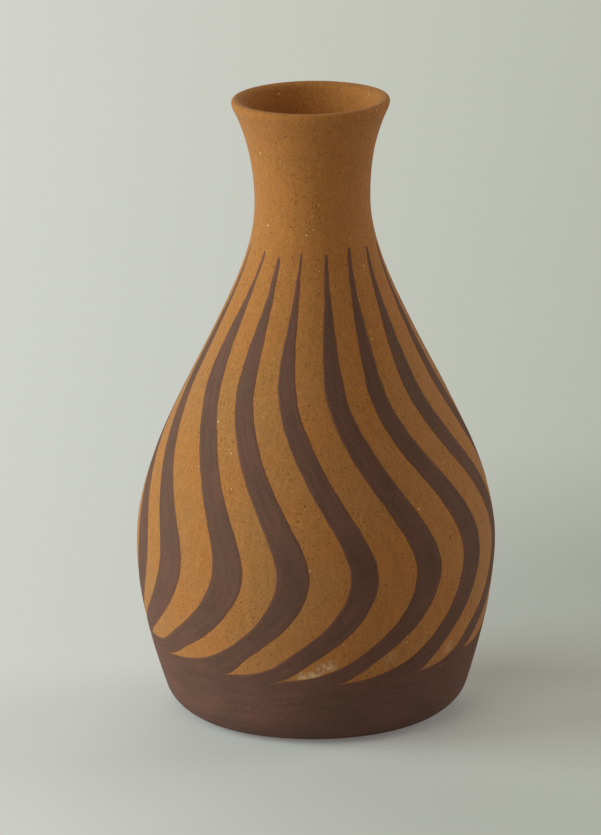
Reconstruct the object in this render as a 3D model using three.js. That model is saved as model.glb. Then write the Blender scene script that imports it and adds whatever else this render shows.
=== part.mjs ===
// Hand-built clay vase with a flared mouth, a tall shoulder and a low round belly.
// A clay slab and seven wall courses are lapped and luted one on another, and dark slip is laid
// over them as a foot band and sixteen hooked stripes. Millimetres, +Z up, the foot rests on z = 0.

import * as THREE from "three";

// Lengths up the axis, from the floor to the top of the lip
const FOOT_TO_BELLY = 99.3;
const BELLY_TO_SHOULDER = 126.3;
const SHOULDER_TO_THROAT = 71.3;
const THROAT_TO_LIP = 59.1;

// Radii of the outside of the clay, and how it leans at the three places where it isn't upright
const FOOT_RADIUS = 80;
const BELLY_RADIUS = 101.6;
const SHOULDER_RADIUS = 55;
const THROAT_RADIUS = 32.5;
const LIP_RADIUS = 44.5;
const FOOT_LEAN = 0.34;
const SHOULDER_LEAN = -0.48;
const LIP_LEAN = 0.5;

// The round edge under the foot, and the clay's thickness
const FOOT_EDGE_WIDTH = 17.5;
const FOOT_EDGE_HEIGHT = 16.5;
const WALL = 6.5;
const FLOOR = 9;
const HEEL_COVE = 9;

// The lip: how far it stands over the end of the outline, its thickness across its slope, the
// rounding of its two edges, and how far its inner edge stands over its outer one
const LIP_HEIGHT = 4;
const LIP = 7.4;
const LIP_OUTER_ROUND = 2;
const LIP_INNER_ROUND = 1.5;
const LIP_RISE = 0.6;

// The courses, and the half lap that joins each one to the next
const FOOT_COURSE = 48;
const UPPER_BELLY_COURSE = 42;
const LOWER_SHOULDER_COURSE = 56;
const NECK_COURSE_UNDER_THROAT = 44;
const RIM_COURSE = 20;
const LAP = 5;
const FLOOR_LEDGE = 3.5;
const CLEARANCE = 0.3;

// The slip
const COAT = 0.5;
const BAND_TOP = 42;
const BAND_FOOT = 1.2;
const TIP_UNDER_THROAT = 25;
const STRIPE_COUNT = 16;
const FIRST_TIP_ANGLE = 12.3;

// One stripe from its tip to the foot band: the share of the way up from the band to the tip,
// the turn away from the tip in degrees, and the share of the stripe's pitch that it covers
const STRIPE_COURSE = [
  [1, 0, 0.08],
  [0.95, -1, 0.17],
  [0.88, -1.8, 0.26],
  [0.78, -3.3, 0.41],
  [0.68, -2.2, 0.445],
  [0.56, 5.6, 0.44],
  [0.42, 17.8, 0.46],
  [0.285, 25.9, 0.455],
  [0.21, 24, 0.465],
  [0.12, 16, 0.475],
  [0.05, 4.2, 0.5],
  [0.02, -2.4, 0.61],
  [0.006, -7.5, 0.8],
  [0, -12, 0.96],
];

// Fineness of the facets; a stripe's rows lie closer together towards its foot by this power
const ROUND_STEPS = 42;
const STRIPE_ROWS = 21;
const STRIPE_COLUMNS = 3;
const ROW_GATHER = 1.3;
const OUTSIDE_STEP = 17;
const INSIDE_STEP = 32;
const EDGE_STEPS = 4;
const COVE_STEPS = 3;
const LIP_STEP = Math.PI / 6;

// Heights that follow from the lengths
const bellyHeight = FOOT_TO_BELLY;
const shoulderHeight = bellyHeight + BELLY_TO_SHOULDER;
const throatHeight = shoulderHeight + SHOULDER_TO_THROAT;
const topHeight = throatHeight + THROAT_TO_LIP;
const mouthHeight = topHeight - LIP_HEIGHT;
const ledgeHeight = FLOOR - FLOOR_LEDGE;
const coveTop = FLOOR + HEEL_COVE;
const pitch = 360 / STRIPE_COUNT;
const bellyDegree = THREE.MathUtils.degToRad(BELLY_RADIUS);

const clay = { color: 0xa8692f, roughness: 0.9, metalness: 0 };
const slip = { color: 0x5d423a, roughness: 0.85, metalness: 0 };

// One stretch of the outside, from [radius, height, lean] to the next. Its handles stand a third of
// the height from its ends, so that height grows evenly along it.
function stretch([radiusA, heightA, leanA], [radiusB, heightB, leanB]) {
  const third = (heightB - heightA) / 3;
  return new THREE.CubicBezierCurve(
    new THREE.Vector2(radiusA, heightA),
    new THREE.Vector2(radiusA + leanA * third, heightA + third),
    new THREE.Vector2(radiusB - leanB * third, heightB - third),
    new THREE.Vector2(radiusB, heightB),
  );
}

const landmarks = [
  [FOOT_RADIUS, 0, FOOT_LEAN],
  [BELLY_RADIUS, bellyHeight, 0],
  [SHOULDER_RADIUS, shoulderHeight, SHOULDER_LEAN],
  [THROAT_RADIUS, throatHeight, 0],
  [LIP_RADIUS, mouthHeight, LIP_LEAN],
];
const stretches = landmarks.slice(1).map((mark, index) => stretch(landmarks[index], mark));

// The stretch that holds a height, and how far along it that height lies
function locate(height) {
  const curve = stretches.find((each) => height <= each.v3.y) ?? stretches.at(-1);
  return [curve, (height - curve.v0.y) / (curve.v3.y - curve.v0.y)];
}

// Radius of the outside at a height, before its foot edge is rounded
function outlineRadius(height) {
  const [curve, along] = locate(height);
  return curve.getPoint(along).x;
}

// Thickness across the axis of a wall that is one unit thick across its own slope
function slopeFactor(height) {
  const [curve, along] = locate(height);
  const tangent = curve.getTangent(THREE.MathUtils.clamp(along, 0, 1));
  return 1 / tangent.y;
}

// Radius at a height of the layer that lies so deep under the outside; a negative depth is over it
function layerRadius(height, depth) {
  return outlineRadius(height) - depth * slopeFactor(height);
}

// Where the inside of the first course meets the floor, under its cove
const heelRadius = layerRadius(coveTop, WALL) - HEEL_COVE;

// Point on the rounded foot edge: part 0 is under the foot and part 1 is where the upright wall starts
function footEdgePoint(part, outwards = 0) {
  const angle = (part * Math.PI) / 2;
  const height = FOOT_EDGE_HEIGHT * (1 - Math.cos(angle));
  const radius = outlineRadius(height) - FOOT_EDGE_WIDTH * (1 - Math.sin(angle));
  const normal = new THREE.Vector2(
    Math.sin(angle) * FOOT_EDGE_HEIGHT,
    -Math.cos(angle) * FOOT_EDGE_WIDTH,
  ).normalize();
  return new THREE.Vector2(radius, height).addScaledVector(normal, outwards);
}

// The part of the foot edge at a height
function footEdgePart(height) {
  return Math.acos(1 - height / FOOT_EDGE_HEIGHT) / (Math.PI / 2);
}

// Points on the foot edge between two of its parts, both ends included
function footEdge(from, to, outwards = 0) {
  const points = [];
  for (let step = 0; step <= EDGE_STEPS; step += 1) {
    points.push(footEdgePoint(THREE.MathUtils.lerp(from, to, step / EDGE_STEPS), outwards));
  }
  return points;
}

// Points on a layer between two heights, both ends included, in either direction
function layer(from, to, depth) {
  const longest = depth === WALL ? INSIDE_STEP : OUTSIDE_STEP;
  const steps = Math.ceil(Math.abs(to - from) / longest);
  const points = [];
  for (let step = 0; step <= steps; step += 1) {
    const height = THREE.MathUtils.lerp(from, to, step / steps);
    points.push(new THREE.Vector2(layerRadius(height, depth), height));
  }
  return points;
}

// A half lap at a seam. The standing half is inside where the wall leans inwards and outside where
// it leans outwards, so that the upper course can be set down on the lower one. The tops are those
// of the course under it, and the bottoms those of the course over it.
function lapAt(seam) {
  const standsInside = outlineRadius(seam + LAP) < outlineRadius(seam);
  const crest = seam + LAP;
  const socketTop = crest + CLEARANCE;
  return {
    seam,
    crest,
    socketTop,
    standsInside,
    outerTop: standsInside ? seam : crest,
    innerTop: standsInside ? crest : seam,
    outerBottom: standsInside ? seam : socketTop,
    innerBottom: standsInside ? socketTop : seam,
  };
}

// Top edge of the course under a lap, from outside to inside
function lapTop({ seam, crest, standsInside }) {
  const middle = WALL / 2 + (standsInside ? CLEARANCE / 2 : -CLEARANCE / 2);
  const foot = new THREE.Vector2(layerRadius(seam, middle), seam);
  const head = new THREE.Vector2(layerRadius(crest, middle), crest);
  return standsInside ? [foot, head] : [head, foot];
}

// Bottom edge of the course over a lap, from inside to outside
function lapBottom({ seam, socketTop, standsInside }) {
  const middle = WALL / 2 + (standsInside ? -CLEARANCE / 2 : CLEARANCE / 2);
  const foot = new THREE.Vector2(layerRadius(seam, middle), seam);
  const head = new THREE.Vector2(layerRadius(socketTop, middle), socketTop);
  return standsInside ? [head, foot] : [foot, head];
}

// A profile of [radius, height] points turned about the axis; it closes on itself or on the axis
function turned(points) {
  const onAxis = points[0].x === 0;
  const profile = onAxis ? points : [...points, points[0].clone()];
  const geometry = new THREE.LatheGeometry(profile, ROUND_STEPS);
  geometry.rotateX(Math.PI / 2);
  return geometry;
}

// The floor: a flat slab whose edge is the lower part of the foot, with a ledge for the first course
function floorDisc() {
  return turned([
    new THREE.Vector2(0, 0),
    ...footEdge(0, footEdgePart(ledgeHeight)),
    new THREE.Vector2(heelRadius - CLEARANCE, ledgeHeight),
    new THREE.Vector2(heelRadius - CLEARANCE, FLOOR),
    new THREE.Vector2(0, FLOOR),
  ]);
}

// The first course stands round the slab on its ledge, with a cove inside
function footWall(lap) {
  const cove = [];
  for (let step = 0; step <= COVE_STEPS; step += 1) {
    const angle = ((step / COVE_STEPS) * Math.PI) / 2;
    cove.push(
      new THREE.Vector2(
        heelRadius + HEEL_COVE * Math.cos(angle),
        coveTop - HEEL_COVE * Math.sin(angle),
      ),
    );
  }
  return turned([
    ...footEdge(footEdgePart(ledgeHeight), 1),
    ...layer(FOOT_EDGE_HEIGHT, lap.outerTop, 0).slice(1),
    ...lapTop(lap),
    ...layer(lap.innerTop, coveTop, WALL).slice(0, -1),
    ...cove,
    new THREE.Vector2(heelRadius, ledgeHeight),
  ]);
}

// A course between two laps
function courseWall(under, over) {
  return turned([
    ...layer(under.outerBottom, over.outerTop, 0),
    ...lapTop(over),
    ...layer(over.innerTop, under.innerBottom, WALL),
    ...lapBottom(under),
  ]);
}

// Points on a rounded edge, whole steps of its angle about its centre
function roundedEdge(radius, height, round, firstStep, lastStep) {
  const points = [];
  for (let step = firstStep; step <= lastStep; step += 1) {
    const angle = step * LIP_STEP;
    points.push(
      new THREE.Vector2(radius + round * Math.cos(angle), height + round * Math.sin(angle)),
    );
  }
  return points;
}

// The last course ends in the lip, whose flat top has two rounded edges and rises to its inner one
function rimLip(under) {
  const outerCentre = topHeight - LIP_RISE - LIP_OUTER_ROUND;
  const innerCentre = topHeight - LIP_INNER_ROUND;
  const below = outerCentre - LIP_OUTER_ROUND;
  const innerRadius = layerRadius(innerCentre, LIP - LIP_INNER_ROUND);
  return turned([
    ...layer(under.outerBottom, below, 0),
    ...roundedEdge(LIP_RADIUS - LIP_OUTER_ROUND, outerCentre, LIP_OUTER_ROUND, -1, 3),
    ...roundedEdge(innerRadius, innerCentre, LIP_INNER_ROUND, 3, 5),
    ...layer(below, under.innerBottom, WALL),
    ...lapBottom(under),
  ]);
}

// The foot band: one coat of slip from just over the floor to the foot of the stripes
function footBand() {
  const inner = CLEARANCE;
  const outer = CLEARANCE + COAT;
  const low = footEdgePart(BAND_FOOT);
  return turned([
    ...footEdge(low, 1, outer),
    ...layer(FOOT_EDGE_HEIGHT, BAND_TOP, -outer).slice(1),
    ...layer(BAND_TOP, FOOT_EDGE_HEIGHT, -inner).slice(0, -1),
    ...footEdge(1, low, inner),
  ]);
}

// The stripe's course, laid out flat as on the belly: [turn, width, height] in millimetres
function stripeCourse() {
  const foot = BAND_TOP + CLEARANCE;
  const rise = throatHeight - TIP_UNDER_THROAT - foot;
  return new THREE.CatmullRomCurve3(
    STRIPE_COURSE.map(
      ([up, turn, cover]) =>
        new THREE.Vector3(turn * bellyDegree, cover * pitch * bellyDegree, foot + up * rise),
    ),
    false,
    "centripetal",
  );
}

// Turns the two triangles of each quad so that they meet along its shorter diagonal. Where a stripe
// leans hard, the longer one would dip through the wall.
function splitAcrossShorterDiagonal(geometry) {
  const places = geometry.attributes.position;
  const corner = (vertex) => new THREE.Vector3().fromBufferAttribute(places, vertex);
  const index = geometry.index;
  for (let first = 0; first < index.count; first += 6) {
    const [a, b, d, , c] = index.array.slice(first, first + 6);
    if (corner(a).distanceTo(corner(c)) < corner(b).distanceTo(corner(d))) {
      index.array.set([a, b, c, a, c, d], first);
    }
  }
}

// One stripe: a flat strip bent round the wall along its course, one coat thick
function stripe(tipAngle) {
  const course = stripeCourse();
  const strip = new THREE.BoxGeometry(1, 1, 1, STRIPE_COLUMNS, STRIPE_ROWS, 1);
  const places = strip.attributes.position;
  for (let index = 0; index < places.count; index += 1) {
    const station = course.getPointAt(1 - (0.5 + places.getY(index)) ** ROW_GATHER);
    const turn = (station.x + places.getX(index) * station.y) / bellyDegree;
    const angle = THREE.MathUtils.degToRad(tipAngle + turn);
    const over = CLEARANCE + (places.getZ(index) > 0 ? COAT : 0);
    const radius = layerRadius(station.z, -over);
    places.setXYZ(index, radius * Math.sin(angle), -radius * Math.cos(angle), station.z);
  }
  splitAcrossShorterDiagonal(strip);
  strip.computeVertexNormals();
  return strip;
}

const vessel = new THREE.Group();

function add(name, geometry, finish) {
  const mesh = new THREE.Mesh(geometry, new THREE.MeshStandardMaterial(finish));
  mesh.name = name;
  vessel.add(mesh);
}

const footLap = lapAt(FOOT_COURSE);
const bellyLap = lapAt(bellyHeight);
const lowShoulderLap = lapAt(bellyHeight + UPPER_BELLY_COURSE);
const highShoulderLap = lapAt(bellyHeight + UPPER_BELLY_COURSE + LOWER_SHOULDER_COURSE);
const neckLap = lapAt(throatHeight - NECK_COURSE_UNDER_THROAT);
const rimLap = lapAt(topHeight - RIM_COURSE);

add("floor_disc", floorDisc(), clay);
add("foot_wall", footWall(footLap), clay);
add("lower_belly_wall", courseWall(footLap, bellyLap), clay);
add("upper_belly_wall", courseWall(bellyLap, lowShoulderLap), clay);
add("lower_shoulder_wall", courseWall(lowShoulderLap, highShoulderLap), clay);
add("upper_shoulder_wall", courseWall(highShoulderLap, neckLap), clay);
add("neck_wall", courseWall(neckLap, rimLap), clay);
add("rim_lip", rimLip(rimLap), clay);
add("slip_foot_band", footBand(), slip);
for (let index = 0; index < STRIPE_COUNT; index += 1) {
  const name = `slip_stripe_${String(index + 1).padStart(2, "0")}`;
  add(name, stripe(FIRST_TIP_ANGLE + index * pitch), slip);
}

export default vessel;
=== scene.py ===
"""Hand-built clay vase with hooked slip stripes, dressed for a plain studio photograph.

The clay wall is a turned outline, slightly uneven as a hand leaves it. Its slab, its seven wall
courses and its lip are revolved from closed profiles. Dark slip lies on it as a foot band and
sixteen brushed stripes, each a thin closed shell that follows the wall. Lengths are worked out in
millimetres and go into the meshes in metres. Angles turn from the viewer, 0, to the right.
"""

import logging
import math
from dataclasses import dataclass, field
from enum import Enum

import bpy
import numpy as np
from mathutils import Matrix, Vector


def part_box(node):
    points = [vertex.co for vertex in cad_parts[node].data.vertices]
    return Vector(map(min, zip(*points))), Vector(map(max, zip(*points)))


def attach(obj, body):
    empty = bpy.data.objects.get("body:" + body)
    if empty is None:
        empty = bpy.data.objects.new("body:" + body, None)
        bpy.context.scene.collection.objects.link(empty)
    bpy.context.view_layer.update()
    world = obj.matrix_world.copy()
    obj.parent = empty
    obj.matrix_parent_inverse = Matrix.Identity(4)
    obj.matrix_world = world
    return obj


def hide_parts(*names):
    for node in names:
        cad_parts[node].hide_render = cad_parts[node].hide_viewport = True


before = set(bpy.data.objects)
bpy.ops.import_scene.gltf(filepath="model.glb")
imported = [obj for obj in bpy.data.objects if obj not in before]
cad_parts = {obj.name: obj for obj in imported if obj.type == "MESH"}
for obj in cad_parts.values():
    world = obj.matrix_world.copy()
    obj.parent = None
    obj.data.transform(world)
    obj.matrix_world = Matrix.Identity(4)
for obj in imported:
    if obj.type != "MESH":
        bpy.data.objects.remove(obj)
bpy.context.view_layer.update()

log = logging.getLogger("vase")

MM = 0.001
FULL_TURN = 2 * math.pi
BODY = "root"
SMOOTH_UNDER = math.radians(38)
SEED = 36

Pair = tuple[float, float]
Triple = tuple[float, float, float]
Colour = tuple[float, float, float, float]
Array = np.ndarray
Socket = bpy.types.NodeSocket


class Slot(Enum):
    """The record's material slots."""

    CLAY = "clay"
    SLIP = "slip"


def hermite(knots: Array, values: Array, slopes: Array, at: Array) -> Array:
    """Cubic through values at knots: each end's value and slope, weighted by the Hermite polynomials.

    Args:
        knots: Rising places of the given values.
        values: Value at each knot.
        slopes: Slope at each knot.
        at: Places that are asked for.

    Returns:
        The curve's value at each asked place.
    """
    index = np.clip(np.searchsorted(knots, at, side="right") - 1, 0, len(knots) - 2)
    width = knots[index + 1] - knots[index]
    part = (at - knots[index]) / width
    rest = 1 - part
    start = values[index] * (1 + 2 * part) + slopes[index] * width * part
    end = values[index + 1] * (1 + 2 * rest) - slopes[index + 1] * width * rest
    return start * rest**2 + end * part**2


def smooth_through(knots: Array, values: Array, at: Array) -> Array:
    """Cubic spline through values at knots, whose curvature is even at each knot and 0 at both ends.

    With gap h and rise d between two knots, the slopes m meet m(i-1)/h + 2m(i)(1/h + 1/h') +
    m(i+1)/h' = 3(d/h² + d'/h'²), and 2m + m' = 3d/h at an end.

    Args:
        knots: Rising places of the given values.
        values: Value at each knot.
        at: Places that are asked for, held to the range of the knots.

    Returns:
        The curve's value at each asked place.
    """
    close = 1 / np.diff(knots)
    steep = 3 * np.diff(values) * close**2
    zero = np.zeros(1)
    middle = 2 * (np.concatenate([zero, close]) + np.concatenate([close, zero]))
    system = np.diag(middle) + np.diag(close, 1) + np.diag(close, -1)
    slopes = np.linalg.solve(system, np.concatenate([zero, steep]) + np.concatenate([steep, zero]))
    return hermite(knots, values, slopes, np.clip(at, knots[0], knots[-1]))


def smooth_step(low: float, high: float, value: Array) -> Array:
    """Rises from 0 at low to 1 at high as 3p² - 2p³, where p is the share of the way.

    Args:
        low: Value at which the step starts.
        high: Value at which it ends.
        value: Values to judge.

    Returns:
        The step's height for each value.
    """
    part = np.clip((value - low) / (high - low), 0, 1)
    return part * part * (3 - 2 * part)


def gathered(count: int) -> Array:
    """Count + 1 places from 0 to 1, closer together at both ends: half of 1 - cos of an even angle."""
    return (1 - np.cos(np.linspace(0, math.pi, count + 1))) / 2


@dataclass(frozen=True)
class Unevenness:
    """A slow wave round the pot: depth * cos(lobes * angle + 2 pi * height / wavelength + start)."""

    depth: float
    lobes: int
    wavelength: float = math.inf
    start: float = 0.0

    def at(self, angle: Array, height: Array | float) -> Array:
        """The wave in mm at each angle and height."""
        climb = FULL_TURN * height / self.wavelength
        return self.depth * np.cos(self.lobes * angle + climb + self.start)


@dataclass
class PotSurface:
    """The outside of the clay as a surface of angle and trail.

    The trail runs up the meridian: over the foot edge it is the height itself, and under that it
    spreads the edge's quarter ellipse evenly over 0 to the edge's height. A landmark of the
    outline is a height and the radius there in mm, and the radius gained per mm of height. sway
    holds heights and how far the axis stands to the viewer's right there, in mm.
    """

    landmarks: tuple[Triple, ...] = (
        (0, 80, 0.34),
        (99.3, 101.6, 0),
        (225.6, 55, -0.48),
        (296.9, 32.5, 0),
        (352, 44.5, 0.5),
    )
    edge_width: float = 17.5
    edge_height: float = 16.5
    wall: float = 6.5
    lean_step: float = 0.1
    waves: tuple[Unevenness, ...] = (
        Unevenness(0.10, 2, 610, 0.7),
        Unevenness(0.06, 3, -240, 2.1),
        Unevenness(0.035, 5, 90, 4.0),
        Unevenness(0.03, 1, 41, 1.3),
    )
    sway: tuple[Pair, ...] = (
        (0, 0),
        (75, 0),
        (128, 0.45),
        (175, 0.15),
        (225, 0.1),
        (262, 0.4),
        (300, 0.15),
        (345, -0.3),
    )

    def __post_init__(self) -> None:
        """Lays the landmarks and the sway out as arrays."""
        self.heights, self.radii, self.leans = np.array(self.landmarks, float).T
        self.sway_heights, self.sway_reach = np.array(self.sway, float).T

    def outline(self, height: Array) -> Array:
        """Radius of the outside at a height, before its foot edge is rounded."""
        return hermite(self.heights, self.radii, self.leans, np.asarray(height, float))

    def lean(self, height: Array) -> Array:
        """Radius gained per mm of height, from two places lean_step apart."""
        half = self.lean_step / 2
        return (self.outline(height + half) - self.outline(height - half)) / self.lean_step

    def inside(self, height: Array, depth: float) -> Array:
        """Radius at a height of the layer that lies depth mm under the outside, square to its slope."""
        return self.outline(height) - depth * np.sqrt(1 + self.lean(height) ** 2)

    def unevenness(self, angle: Array, height: Array) -> Array:
        """Radius gained in mm at each angle and height: the slow waves, and the sway times sin a."""
        waves = sum(wave.at(angle, height) for wave in self.waves)
        return waves + smooth_through(self.sway_heights, self.sway_reach, height) * np.sin(angle)

    def trail_at(self, height: float) -> float:
        """Trail of a height on the foot edge: the edge's angle there, as a share of its height."""
        return math.acos(1 - height / self.edge_height) / (math.pi / 2) * self.edge_height

    def meridian(self, trail: Array, over: Array) -> tuple[Array, Array]:
        """Radius and height of places over the outside.

        On the foot edge, W wide and H high, the height at angle a is H(1 - cos a) and the radius is
        that of the outline less W(1 - sin a). The place is then moved along the normal, which is
        the tangent turned by a quarter.

        Args:
            trail: Trail of each place in mm.
            over: How far each place lies over the clay in mm.

        Returns:
            The radius and the height of each place in mm.
        """
        angle = np.clip(trail / self.edge_height, 0, 1) * math.pi / 2
        on_edge = trail < self.edge_height
        height = np.where(on_edge, self.edge_height * (1 - np.cos(angle)), trail)
        radius = self.outline(height) - self.edge_width * (1 - np.sin(angle))
        rise = np.where(on_edge, self.edge_height * np.sin(angle), 1)
        spread = self.lean(height) * rise + np.where(on_edge, self.edge_width * np.cos(angle), 0)
        size = np.hypot(rise, spread)
        return radius + over * rise / size, height - over * spread / size

    def place(self, angle: Array, trail: Array, over: Array) -> Array:
        """Places over the outside of the clay.

        Args:
            angle: Angle of each place in radians.
            trail: Trail of each place in mm.
            over: How far each place lies over the clay in mm.

        Returns:
            The x, y and z of each place in mm, along the last axis.
        """
        radius, height = self.meridian(trail, over)
        return turned(angle, radius + self.unevenness(angle, height), height)


def turned(angle: Array, radius: Array, height: Array) -> Array:
    """Cylinder coordinates as x = r sin a, y = -r cos a and z, along the last axis."""
    parts = (radius * np.sin(angle), -radius * np.cos(angle), height)
    return np.stack(np.broadcast_arrays(*parts), axis=-1)


def grid_quads(rows: int, columns: int, rows_meet: bool, columns_meet: bool) -> Array:
    """Quads of a grid of vertices that is numbered along its rows.

    Args:
        rows: Rows of vertices.
        columns: Columns of vertices.
        rows_meet: Whether the last row joins the first one.
        columns_meet: Whether the last column joins the first one.

    Returns:
        Four vertex numbers for each quad, all turning the same way.
    """
    row = np.arange(rows if rows_meet else rows - 1)[:, None]
    column = np.arange(columns if columns_meet else columns - 1)[None, :]
    over = (row + 1) % rows
    beside = (column + 1) % columns
    places = ((row, column), (row, beside), (over, beside), (over, column))
    corners = [down * columns + along for down, along in places]
    return np.stack(np.broadcast_arrays(*corners), axis=-1).reshape(-1, 4)


def enclosed_volume(points: Array, quads: Array) -> float:
    """Volume inside closed quads: a sixth of the sum of a . (b x c) over their triangles."""
    a, b, c, d = (points[quads[:, corner]] for corner in range(4))
    return float(np.sum(a * (np.cross(b, c) + np.cross(c, d))) / 6)


def stand(name: str, data: bpy.types.ID) -> bpy.types.Object:
    """Makes an object that shows the data, and links it into the scene.

    Args:
        name: Name of the object.
        data: Its mesh, lamp or camera.

    Returns:
        The object.
    """
    made = bpy.data.objects.new(name, data)
    bpy.context.scene.collection.objects.link(made)
    return made


@dataclass
class Piece:
    """One closed mesh in the making: its vertices in mm and its faces.

    A coat of slip also has values at its vertices: edge, the distance from its edge in mm, and
    brush, the place in its brush map in metres.
    """

    name: str
    points: Array
    quads: Array
    fans: list[list[int]] = field(default_factory=list)
    edge: Array | None = None
    brush: Array | None = None

    def build(self, node: str, slot: Slot, material: bpy.types.Material) -> None:
        """Makes the mesh object, faces outwards, and hands it to the frame.

        Args:
            node: CAD node that the piece stands for.
            slot: Record slot of its finish. It is not used.
            material: Its material.
        """
        faces = self.quads.tolist() + self.fans
        if enclosed_volume(self.points, self.quads) < 0:
            faces = [face[::-1] for face in faces]
        mesh = bpy.data.meshes.new(self.name)
        mesh.from_pydata((self.points * MM).tolist(), [], faces)
        mesh.validate()
        mesh.shade_smooth()
        mesh.set_sharp_from_angle(angle=SMOOTH_UNDER)
        if self.edge is not None:
            layer = mesh.attributes.new("edge", "FLOAT", "POINT")
            layer.data.foreach_set("value", self.edge.astype(np.float32))
        if self.brush is not None:
            corner_vertices = np.empty(len(mesh.loops), np.int32)
            mesh.loops.foreach_get("vertex_index", corner_vertices)
            layer = mesh.uv_layers.new(name="brush")
            layer.data.foreach_set("uv", self.brush[corner_vertices].astype(np.float32).ravel())
        mesh.materials.append(material)
        piece = stand(self.name, mesh)
        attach(piece, BODY)
        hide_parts(node)
        log.info("%s: %d faces", self.name, len(mesh.polygons))


@dataclass(frozen=True)
class Specks:
    """Round specks: their colour, cell size and largest radius in mm, and share of cells with one."""

    colour: Colour
    cell: float
    radius: float
    share: float


@dataclass(frozen=True)
class Texture:
    """Fine grain and long streaks, which shade a surface and stand up from it.

    grain and streak are their lumps' sizes in mm, and the streaks are drawn out 1 / squash times.
    The grain scales the colour from dark to light, and the streaks move that by swing either way.
    share is the streaks' part in the height, to the grain's 1.
    """

    grain: float
    dark: float
    light: float
    streak: float
    squash: float
    swing: float
    share: float


class Painter:
    """Adds nodes to one material and links them, one short call for each kind of node.

    A fine noise has the detail fine, and is darkest and lightest at spread from its mean of 0.5.
    A speck's radius is from smallest_speck to 1 of the largest, and its rim outside speck_core of
    its radius is soft.
    """

    fine = 3.0
    spread = 0.2
    smallest_speck = 0.45
    speck_core = 0.6

    def __init__(self, name: str) -> None:
        """Starts a material with its shader and its Object coordinates in mm.

        Args:
            name: Name of the material.
        """
        self.material = bpy.data.materials.new(name)
        self.material.use_nodes = True
        self.tree = self.material.node_tree
        self.shader = self.tree.nodes["Principled BSDF"]
        place = self.node("ShaderNodeTexCoord").outputs["Object"]
        self.millimetres = self.stretched(place, (1 / MM,) * 3)

    def fill(self, node: bpy.types.Node, inputs: dict) -> None:
        """Links sockets to a node's inputs, or writes plain values into them.

        Args:
            node: The node.
            inputs: Socket or plain value for each input, by the input's name or number.
        """
        for key, value in inputs.items():
            if isinstance(value, Socket):
                self.tree.links.new(value, node.inputs[key])
            else:
                node.inputs[key].default_value = value

    def node(self, kind: str, inputs: dict | None = None, **settings: object) -> bpy.types.Node:
        """Adds a node of a kind, with its own settings, and fills its inputs.

        Args:
            kind: The node's type.
            inputs: What fill takes.
            settings: The node's own settings.

        Returns:
            The node.
        """
        node = self.tree.nodes.new(kind)
        for key, value in settings.items():
            setattr(node, key, value)
        self.fill(node, inputs or {})
        return node

    def stretched(self, vector: object, factors: Triple) -> Socket:
        """The vector times one factor along each axis."""
        return self.node("ShaderNodeVectorMath", {0: vector, 1: factors}, operation="MULTIPLY").outputs[0]

    def axes(self, vector: object) -> list[Socket]:
        """The vector's x, y and z."""
        return list(self.node("ShaderNodeSeparateXYZ", {0: vector}).outputs)

    def distance(self, centre: Triple) -> Socket:
        """Distance from a fixed place, in mm."""
        node = self.node("ShaderNodeVectorMath", {0: self.millimetres, 1: centre}, operation="DISTANCE")
        return node.outputs["Value"]

    def calc(self, operation: str, first: object, second: object) -> Socket:
        """One sum, product or other operation of two values."""
        return self.node("ShaderNodeMath", {0: first, 1: second}, operation=operation).outputs[0]

    def remap(self, value: object, low: float, high: float, to_low: float, to_high: float) -> Socket:
        """Value taken from one range to another, held at its ends."""
        inputs = dict(enumerate((value, low, high, to_low, to_high)))
        return self.node("ShaderNodeMapRange", inputs).outputs[0]

    def noise(self, vector: object, size: float, detail: float = 2.0) -> Socket:
        """Cloudy values from 0 to 1 whose lumps are about size across."""
        inputs = {"Vector": vector, "Scale": 1 / size, "Detail": detail}
        return self.node("ShaderNodeTexNoise", inputs).outputs[0]

    def swing(self, noise: object, spread: float, low: float, high: float) -> Socket:
        """A noise taken to low at spread under its mean of 0.5, and to high at spread over it."""
        return self.remap(noise, 0.5 - spread, 0.5 + spread, low, high)

    def textured(self, along: object, texture: Texture) -> tuple[Socket, Socket]:
        """Shades and raises a surface by its texture.

        Args:
            along: Coordinates in mm, squashed in the direction of the streaks.
            texture: Its grain and streaks.

        Returns:
            A factor for the colour, and a height for the bump.
        """
        grain = self.noise(self.millimetres, texture.grain, self.fine)
        streak = self.noise(along, texture.streak, self.fine)
        even = self.swing(grain, self.spread, texture.dark, texture.light)
        drawn = self.swing(streak, self.spread, -texture.swing, texture.swing)
        height = self.calc("ADD", grain, self.calc("MULTIPLY", streak, texture.share))
        return self.calc("ADD", even, drawn), height

    def specks(self, kind: Specks) -> Socket:
        """Mask of round specks, 1 inside and 0 outside, at most one in a cell.

        Args:
            kind: The specks' size and number.

        Returns:
            The mask.
        """
        cells = self.node("ShaderNodeTexVoronoi", {"Vector": self.millimetres, "Scale": 1 / kind.cell})
        split = self.node("ShaderNodeSeparateColor", {0: cells.outputs["Color"]})
        kept = self.calc("LESS_THAN", split.outputs[0], kind.share)
        largest = kind.radius / kind.cell
        reach = self.remap(split.outputs[1], 0, 1, self.smallest_speck * largest, largest)
        near = self.calc("DIVIDE", cells.outputs["Distance"], reach)
        return self.calc("MULTIPLY", self.remap(near, 1.0, self.speck_core, 0, 1), kept)

    def mix(self, share: object, first: object, second: object) -> Socket:
        """Colour that goes from the first to the second by a share."""
        inputs = {"Factor": share, 6: first, 7: second}
        return self.node("ShaderNodeMix", inputs, data_type="RGBA").outputs[2]

    def scaled(self, colour: object, factor: object) -> Socket:
        """Colour times a grey factor."""
        inputs = {0: colour, "Scale": factor}
        return self.node("ShaderNodeVectorMath", inputs, operation="SCALE").outputs[0]

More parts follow.
